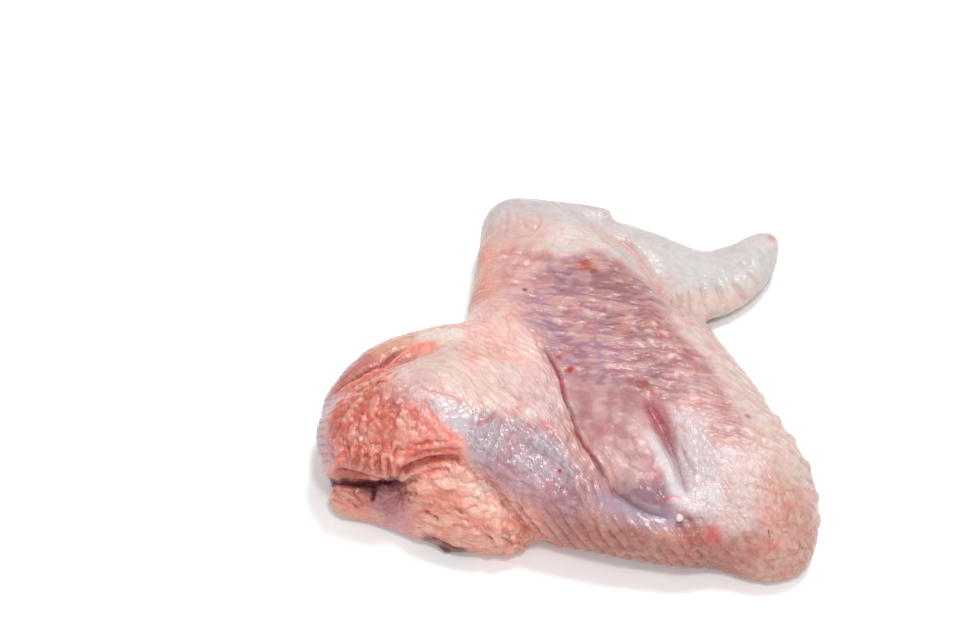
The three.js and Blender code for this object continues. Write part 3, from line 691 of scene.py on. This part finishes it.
quill_mask = quill_zone > 0.12
quills = quill_sites(quill_mask, 21)
index, off, number = nearest(quills, QUILL_REACH, quill_mask)
rng = np.random.default_rng(SEED + 22)
turn = rng.normal(-0.15, 0.3, len(quills))[number]
size = rng.uniform(0.5, 1.35, len(quills))[number]
lift = rng.uniform(0.15, 1.2, len(quills))[number]
outward = normals[index]
along = np.stack([np.cos(turn), np.sin(turn), 0 * turn], axis=1)
along = unit(along - outward * np.sum(along * outward, axis=1)[:, None])
across = np.cross(outward, along)
ragged = 1 + 0.5 * noise(skin[index], 1.6, 23)
ahead = np.sum(off * along, axis=1) * ragged
aside = np.sum(off * across, axis=1) * ragged
dash = bell(ahead / (DASH[0] * size)) * bell(aside / (DASH[1] * size))
pit = bell((ahead + 1.7 * size) / PIT[0]) * bell(aside / PIT[1])
shade = bell((ahead - 0.2) / (DASH[0] * size)) * bell((aside + 1.2 * size) / 0.6)
strong = quill_zone[index] * lift
height[index] += strong * (0.46 * dash - 0.2 * pit - 0.2 * shade)
dye(index, "warm_cream", 0.72 * strong * dash)
# Painted shade: rust in the pit and plum beside the dash.
dye(index, "rust", 0.34 * strong * pit)
dye(index, "plum", 0.42 * strong * shade * rowed[index])

# The shoulder's gooseflesh: scales that overlap towards the lower left, with painted shade in deep
# orange along that edge and painted highlight in peach on their upper sides.
bump_zone = np.clip(bumps * 1.4 + 0.4 * wrinkled, 0, 1)
index, own, lean, low_edge, valley = overlapping(
    bump_zone > 0.06, SCALE_PITCH, SCALE_LIE, 1.5, SCALE_LEAN, 1.1, 1.3, 31)
patchy = 0.2 + 0.8 * ramp(noise(skin[index], 6, 33), -0.4, 0.3)
strong = (bump_zone - 0.4 * zone("shoulder_brow"))[index] * (0.7 + 0.4 * own) * patchy
height[index] += strong * (0.55 * np.clip(lean, -1.6, 1.4) - 0.8 * valley + 0.1)
# Painted highlight on the scales' upper sides, partly varied at random per scale; painted shade in their
# lower left valleys.
dye(index, "peach", (0.1 + 0.25 * own) * bump_zone[index] * (1 - low_edge))
dye(index, "flush_red", 0.2 * strong * (own < -0.3))
dye(index, "deep_orange", 0.5 * strong * valley)
dye(index, "pale_peach", 0.32 * strong * ramp(-lean, 0.1, 1.1))
lumps(bump_zone, (-0.2, -0.75, -0.6), 2.1, 2.2, 0.95, 34, "pale_peach", 0.25, "deep_orange", 0.34)

# Lobules of the fat pad: long soft pads that overlap downhill, with a few fine slits between. Their
# upper sides are painted paler as highlight and the slits deep orange as shade.
fat_zone = np.clip(fat * 1.3, 0, 1)
index, own, lean, low_edge, valley = overlapping(
    fat_zone > 0.08, LOBULE_PITCH, LOBULE_LIE, 1.9, LOBULE_LEAN, 1.4, 1.8, 41)
strong = fat_zone[index] * (0.75 + 0.3 * own) * (0.5 + 0.5 * ramp(noise(skin[index], 8, 43), -0.5, 0.2))
height[index] += strong * (0.5 * np.clip(lean, -2.2, 1.8) - 1.2 * valley + 0.15)
# Painted highlight on the lobules' upper sides, varied per lobule; orange pink at random; painted shade in
# the slits.
dye(index, "pale_peach", np.clip(0.22 + 0.3 * own, 0, 1) * fat_zone[index] * (1 - low_edge))
dye(index, "orange_pink", np.clip(-0.45 * own, 0, 1) * fat_zone[index])
dye(index, "deep_orange", strong * (0.14 + 0.45 * (own > 0.5)) * valley**2)
lumps(fat_zone, (0.9, -0.4, 0), 2.2, 2.0, 0.6, 44, "pale_peach", 0.35, "orange_red", 0.2)


def wrinkles(strength, direction, pitch, deep, seed, wander_by, tint, amount):
    """Creases across a direction, pitch mm apart: rounded ridges, and valleys that wander and break off,
    tinted as painted shade.
    """
    d = np.array(direction, float)
    d /= np.linalg.norm(d)
    near = np.where(strength > 0.05)[0]
    p = skin[near]
    phase = (p @ d + wander_by * layered(p, 9, seed, 2)) / pitch * 2 * math.pi
    ridge = np.abs(np.sin(phase / 2)) ** 0.75
    broken = ramp(noise(p, 3.2 * pitch, seed + 3), -0.8, 0.1)
    strong = np.clip(strength[near], 0, 1) * broken
    height[near] += deep * strong * (ridge - 0.6)
    # Painted shade: the tint in the valleys.
    dye(near, tint, amount * strong * ramp(1 - ridge, 0.4, 0.95))


wrinkles(1.2 * rim, (0.15, 1, 0.25), 2.1, 0.5, 51, 0.9, "deep_orange", 0.4)
wrinkles(1.3 * zone("leading_skin"), (0.5, 1, 0), 2.6, 0.5, 52, 1.5, "orange_red", 0.35)
wrinkles(zone("web_shoulder", "band_top"), (0.75, 0.7, 0), 3.4, 0.4, 53, 2.2, "orange_pink", 0.25)
wrinkles(zone("band_top", "band_low", "web_head"), (1, -0.25, 0), 4.4, 0.5, 54, 2.4, "rose", 0.3)
wrinkles(hollow - strip, (0.9, -0.45, 0.2), 3.1, 0.4, 55, 2.0, "plum", 0.18)
wrinkles(zone("forearm_outer"), (0.35, 1, 0), 2.3, 0.5, 56, 1.4, "orange_pink", 0.35)
slit_zone = np.clip(underband * 1.6 + 0.6 * zone("hollow_end"), 0, 1)
slit_zone *= 1 - 0.55 * ramp(skin[:, 0], 30, 62)
wrinkles(slit_zone, (0.86, 0.3, 0.48), 3.8, 1.05, 57, 1.6, "brown_red", 0.62)
wrinkles(1.3 * wrinkled, (0.2, 0.6, 0.8), 2.7, 0.7, 58, 1.5, "deep_orange", 0.4)
wrinkles(zone("membrane", "shoulder_back"), (0.8, 0.6, 0), 1.9, 0.22, 59, 1.2, "deep_orange", 0.26)
wrinkles(1.4 * zone("trailing_skin"), (0.45, 1, 0), 5.2, 1.3, 60, 0.8, "pale_rose", 0.35)
wrinkles(zone("elbow_outer", "elbow_low"), (0.5, 1, 0.4), 3.2, 0.45, 61, 1.8, "brown_rose", 0.25)
wrinkles(zone("shoulder_rim"), (0.2, 1, 0.5), 2.8, 0.5, 62, 1.0, "plum", 0.25)

lumps(band, (0.45, -0.9, 0), 2.6, 2.0, 0.75, 81, "cream_pink", 0.55, "flush_orange", 0.28)
lumps(rowed, (1, -0.15, 0), 1.8, 2.4, 0.34, 82, "warm_cream", 0.25, "plum", 0.18)
lumps(zone("forearm_belly", "belly_end"), (0.5, -0.85, 0), 3.0, 1.6, 0.1, 90,
      "cream_pink", 0.25, "deep_rose", 0.2)
lumps(zone("trailing_skin", "elbow_inner", "outer_sheen"), (0.7, -0.7, 0), 2.2, 1.8, 0.4, 83,
      "cream", 0.25, "pale_rose", 0.35)
lumps(zone("elbow_outer", "elbow_low"), (0.6, -0.8, 0), 1.8, 1.5, 0.35, 84,
      "cream_pink", 0.3, "deep_rose", 0.25)
lumps(hollow - strip, (0.8, -0.6, 0), 1.6, 4.6, 0.4, 85, "lilac_grey", 0.35, "plum", 0.3)
lumps(underband, (0.6, -0.5, -0.7), 1.8, 2.6, 0.2, 86, "beige_rose", 0.3, "deep_rose", 0.2)
lumps(hand, (1, -0.3, 0), 2.6, 1.8, 0.3, 87, "cream", 0.3, "cream_pink", 0.35)
lumps(bare, (0.7, 0.5, 0.3), 1.8, 2.6, 0.3, 88, "pale_orange", 0.2, "deep_rose", 0.2)

# ---- Folds, ridges, spots ----
for _, wide, deep, lip, tint, strength, tint_wide, *paths in FOLDS:
    for pixels in paths:
        near, far, share = beside(skin + 0.15 * wander, route(pixels), FOLD_REACH * max(wide, tint_wide))
        taper = ramp(share, 0.0, 0.2) * ramp(1 - share, 0.0, 0.2) + 0.1
        core = np.clip(1 - (far / (1.1 * wide)) ** 2, 0, 1) ** 2
        rims = bell((far - 2.2 * wide) / (0.9 * wide))
        height[near] += taper * (lip * rims - 0.55 * deep * core - 0.45 * deep * bell(far / (1.9 * wide)))
        # Painted shade: a fold's dark tint in its core and a softer band round it.
        dye(near, tint, strength * np.clip(1.2 * taper, 0, 1)
            * (0.78 * bell(far / (0.62 * tint_wide)) + 0.22 * bell(far / (1.7 * tint_wide))))

for _, tint, radius, strength, lift, *places in SPOTS:
    for pixel in places:
        near, far, _ = beside(skin, route([pixel]), SPOT_REACH * radius)
        height[near] += lift * np.clip(1 - (far / (1.4 * radius)) ** 2, 0, 1)
        dye(near, tint, strength * np.clip(1.5 * bell(far / radius), 0, 1))

# ---- Blotches of blood and pallor, and painted shade in the sunken places ----
blotch = layered(skin, 12, 71)
colour *= (1 + 0.13 * blotch + 0.07 * layered(skin, 3, 76, 2))[:, None]
flush = ramp(layered(skin, 7, 72), 0.12, 0.6) * (1 - 0.8 * fat) * (1 - 0.75 * hand)
dye(everywhere, "flush_pink", 0.2 * flush)
pale = ramp(layered(skin, 5, 73), 0.15, 0.6)
dye(everywhere, "cream_pink", 0.22 * pale * (1 - bare))
veins = 1 - np.abs(layered(skin, 11, 74, 2)) * 9
veins = np.clip(veins, 0, 1) * ramp(noise(skin, 15, 75), 0.0, 0.6)
dye(everywhere, "flush_pink", 0.16 * veins * np.clip(forearm + elbow + hand, 0, 1))
# Painted shade: where the relief sinks deepest the skin turns deeper rose, as shade in the creases.
sunken_shade = ramp(-height, 0.35, 2.2)
dye(everywhere, "deep_rose", 0.3 * sunken_shade * (1 - hand) * (1 - fat))

# How thick the wet coat is, and how smooth the skin under it: 0 satin skin to 1 wet flesh.
shine = np.clip(0.3 + 0.3 * hollow + 0.85 * fat + 0.6 * bumps + 0.15 * zone("outer_sheen")
                - 0.35 * strip + 0.1 * zone("tendon") + 0.3 * bare - 0.12 * hand
                + 0.1 * band - 0.3 * belly - 0.2 * rowed, 0, 1)
gloss = np.clip(0.35 + 0.5 * hollow + 0.45 * bare + 0.3 * zone("tendon", "outer_sheen", "groove_bed")
                + 0.2 * forearm + 0.12 * fat - 0.2 * hand, 0, 1)

grey = colour.mean(axis=1)[:, None]
colour[:] = np.clip(grey + (colour - grey) * RICHNESS, 0, 1) * LIGHTNESS

# ---- The underside: the resting patches stay flat ----
height *= ramp(skin[:, 2], *FLAT_UNDER) * (1 - 0.5 * turned_away)
skin += normals * height[:, None]
skin[:, 2] = np.maximum(skin[:, 2], 0.0)
mesh.vertices.foreach_set("co", (skin / MM).astype(np.float32).ravel())
mesh.update()

tone = mesh.attributes.new("skin_tone", "FLOAT_COLOR", "POINT")
opaque = np.column_stack([np.clip(colour, 0, 1), np.ones(count)])
tone.data.foreach_set("color", opaque.astype(np.float32).ravel())
smooth_flesh = zone("tendon", "groove_bed", "lilac_strip", "blue_patch", "belly_end")
masks = {
    "wetness": gloss,
    "shine": shine,
    "grain": np.clip(0.8 - 0.68 * belly - 0.3 * hollow - 0.3 * bare - 0.55 * hand
                     - 0.5 * smooth_flesh - 0.2 * rowed, 0.05, 1),
    "rowed": rowed,
    "slanted": np.clip(band + hollow + fat + zone("forearm_belly", "shoulder_rim") + elbow, 0, 1),
}
for name, values in masks.items():
    mask = mesh.attributes.new(name, "FLOAT", "POINT")
    mask.data.foreach_set("value", values.astype(np.float32))
for polygon in mesh.polygons:
    polygon.use_smooth = True


# ---- Materials ----
def new_material(name):
    material = bpy.data.materials.new(name)
    material.use_nodes = True
    return material, material.node_tree.nodes, material.node_tree.links


def settle(node, values):
    """Sets a node's inputs by name."""
    for name, value in values.items():
        node.inputs[name].default_value = value


def skin_material():
    material, nodes, links = new_material("raw_skin")
    shader = nodes["Principled BSDF"]
    place = nodes.new("ShaderNodeTexCoord").outputs["Object"]

    def attribute(name, output="Fac"):
        node = nodes.new("ShaderNodeAttribute")
        node.attribute_name = name
        return node.outputs[output]

    def noise_node(vector, scale, detail, roughness):
        node = nodes.new("ShaderNodeTexNoise")
        settle(node, {"Scale": scale, "Detail": detail, "Roughness": roughness})
        links.new(vector, node.inputs["Vector"])
        return node.outputs["Fac"]

    def speckle(mm, detail):
        """Noise whose lumps are about mm millimetres across."""
        return noise_node(place, MM / mm, detail, 0.55)

    def drawn_out(mm, ratio, turn, detail):
        """Noise whose lumps are drawn out along a direction in the plan."""
        bed = nodes.new("ShaderNodeMapping")
        bed.vector_type = "TEXTURE"
        settle(bed, {"Rotation": (0, 0, math.radians(turn)), "Scale": (ratio * mm / MM, mm / MM, mm / MM)})
        links.new(place, bed.inputs["Vector"])
        return noise_node(bed.outputs["Vector"], 1.0, detail, 0.6)

    def spread(value, low, high, to_low, to_high):
        node = nodes.new("ShaderNodeMapRange")
        settle(node, {"From Min": low, "From Max": high, "To Min": to_low, "To Max": to_high})
        links.new(value, node.inputs["Value"])
        return node.outputs["Result"]

    def compute(kind, a, b):
        node = nodes.new("ShaderNodeMath")
        node.operation = kind
        links.new(a, node.inputs[0])
        links.new(b, node.inputs[1])
        return node.outputs["Value"]

    def blend(kind, factor, colour, tint):
        node = nodes.new("ShaderNodeMix")
        node.data_type = "RGBA"
        node.blend_type = kind
        settle(node, {"B": (*tint, 1)})
        links.new(factor, node.inputs["Factor"])
        links.new(colour, node.inputs["A"])
        return node.outputs["Result"]

    def mixed(factor, a, b):
        node = nodes.new("ShaderNodeMix")
        node.data_type = "FLOAT"
        links.new(factor, node.inputs["Factor"])
        links.new(a, node.inputs["A"])
        links.new(b, node.inputs["B"])
        return node.outputs["Result"]

    def bump(height, strength, distance):
        node = nodes.new("ShaderNodeBump")
        settle(node, {"Strength": strength, "Distance": distance})
        links.new(height, node.inputs["Height"])
        return node

    # The weave runs along the rows of quills, aslant on the band and the fat, and no way elsewhere.
    rowed_grain = drawn_out(1.7, 2.4, -8, 1.2)
    slanted_grain = drawn_out(1.35, 3.6, -58, 1.2)
    unrowed_grain = mixed(attribute("slanted"), speckle(1.9, 1.2), slanted_grain)
    weave = mixed(attribute("rowed"), unrowed_grain, rowed_grain)
    grain = attribute("grain")

    dark = compute("MULTIPLY", spread(weave, 0.45, 0.75, 0, 0.6), grain)
    light = compute("MULTIPLY", spread(weave, 0.5, 0.25, 0, 0.6), grain)
    base = blend("MULTIPLY", dark, attribute("skin_tone", "Color"), (0.9, 0.74, 0.74))
    base = blend("SCREEN", light, base, (0.12, 0.09, 0.08))
    base = blend("MULTIPLY", spread(speckle(4.2, 2), 0.5, 0.72, 0, 0.5), base, (0.94, 0.78, 0.76))
    links.new(base, shader.inputs["Base Color"])

    dull = spread(attribute("wetness"), 0, 1, 0.44, 0.26)
    dull = compute("ADD", dull, spread(speckle(2.6, 2), 0.3, 0.7, -0.06, 0.08))
    links.new(dull, shader.inputs["Roughness"])

    soft = bump(compute("MULTIPLY", weave, grain), 1.0, 0.001)
    fine = bump(compute("MULTIPLY", speckle(0.7, 2), grain), 0.35, 0.0003)
    links.new(soft.outputs["Normal"], fine.inputs["Normal"])
    links.new(soft.outputs["Normal"], shader.inputs["Coat Normal"])
    links.new(fine.outputs["Normal"], shader.inputs["Normal"])

    links.new(attribute("shine"), shader.inputs["Coat Weight"])
    settle(shader, {
        "Subsurface Weight": 0.12,
        "Subsurface Radius": (1.0, 0.4, 0.3),
        "Subsurface Scale": 0.002,
        "Specular IOR Level": 0.3,
        "Coat Roughness": 0.15,
        "Coat IOR": 1.4,
    })
    return material


wing.data.materials.clear()
wing.data.materials.append(skin_material())
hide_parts("turkey_wing")
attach(wing, "root")


# ---- A quill stub and a hair ----
def small_material(name, tone, roughness, coat):
    material, nodes, links = new_material(name)
    shader = nodes["Principled BSDF"]
    mottle = nodes.new("ShaderNodeTexNoise")
    settle(mottle, {"Scale": 900})
    shades = nodes.new("ShaderNodeValToRGB")
    shades.color_ramp.elements[0].color = (*(rgb(tone) * 0.72), 1)
    shades.color_ramp.elements[1].color = (*rgb(tone), 1)
    links.new(mottle.outputs["Fac"], shades.inputs["Fac"])
    links.new(shades.outputs["Color"], shader.inputs["Base Color"])
    bump = nodes.new("ShaderNodeBump")
    settle(bump, {"Strength": 0.5, "Distance": 0.0001})
    links.new(mottle.outputs["Fac"], bump.inputs["Height"])
    links.new(bump.outputs["Normal"], shader.inputs["Normal"])
    settle(shader, {"Roughness": roughness, "Coat Weight": coat})
    return material


def surface_at(place):
    """The skin's point and normal nearest to a place in mm."""
    i = int(np.argmin(np.sum((skin - np.array(place)) ** 2, axis=1)))
    return skin[i], normals[i]


def lathed(name, profile, foot, axis, material, turns):
    """A small body turned about an axis through foot, from radius and height in mm, with closed ends."""
    axis = Vector(axis).normalized()
    side = axis.orthogonal().normalized()
    other = axis.cross(side)
    verts, faces = [], []
    for radius, rise in profile:
        for k in range(turns):
            a = 2 * math.pi * k / turns
            bend = 1 + 0.07 * math.sin(3 * a + rise)
            p = Vector(foot) + axis * rise + (side * math.cos(a) + other * math.sin(a)) * radius * bend
            verts.append(p / MM)
    for r in range(len(profile) - 1):
        for k in range(turns):
            a, b = r * turns + k, r * turns + (k + 1) % turns
            faces.append((a, b, b + turns, a + turns))
    faces.append(tuple(reversed(range(turns))))
    faces.append(tuple(range((len(profile) - 1) * turns, len(profile) * turns)))
    data = bpy.data.meshes.new(name)
    data.from_pydata(verts, [], faces)
    data.materials.append(material)
    for polygon in data.polygons:
        polygon.use_smooth = True
    obj = linked(name, data)
    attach(obj, "root")


foot, up = surface_at(seen_at(*STUB_PLACE))
quill_white = small_material("quill_white", "nub_cream", 0.3, 0.6)
lathed("quill_stub", STUB_PROFILE, foot, (up[0], up[1] - 0.25, up[2]), quill_white, 20)

foot, up = surface_at(seen_at(*HAIR_PLACE))
hair_axis = Vector(HAIR_LIE) + Vector(up) * 0.35
hair_black = small_material("hair_black", "black_hair", 0.4, 0.2)
lathed("stray_hair", HAIR_PROFILE, foot + np.array(up) * 0.1, hair_axis, hair_black, 8)

# ---- Floor, light and camera ----
plane = bpy.data.meshes.new("floor")
r = FLOOR_HALF
plane.from_pydata([(-r, -r, 0), (r, -r, 0), (r, r, 0), (-r, r, 0)], [], [(0, 1, 2, 3)])
white_floor, nodes, _ = new_material("white_floor")
settle(nodes["Principled BSDF"], {"Base Color": (*FLOOR_TINT, 1), "Roughness": 0.8,
                                  "Specular IOR Level": 0.1})
plane.materials.append(white_floor)
linked("floor", plane)

for name, place, size, power in LIGHTS:
    data = bpy.data.lights.new(name, "AREA")
    data.shape = "DISK"
    data.size = size
    data.energy = power
    light = linked(name, data)
    light.location = place
    light.rotation_euler = (Vector(LIGHT_AIM) - Vector(place)).to_track_quat("-Z", "Y").to_euler()

world = bpy.data.worlds.new("white_room")
world.use_nodes = True
settle(world.node_tree.nodes["Background"], {"Color": (1, 1, 1, 1), "Strength": ROOM_LIGHT})
bpy.context.scene.world = world

view = bpy.context.scene.view_settings
view.view_transform = "Standard"
view.look = "None"
view.exposure = 0.0
view.gamma = 1.0

camera_data = bpy.data.cameras.new("camera")
camera_data.lens = LENS
camera_data.sensor_width = SENSOR
camera_data.sensor_fit = "HORIZONTAL"
camera_data.clip_start = 0.01
camera_data.clip_end = 20
camera = linked("camera", camera_data)
camera.location = CAMERA_PLACE
camera.rotation_euler = (CAMERA_TILT, 0, 0)
bpy.context.scene.camera = camera
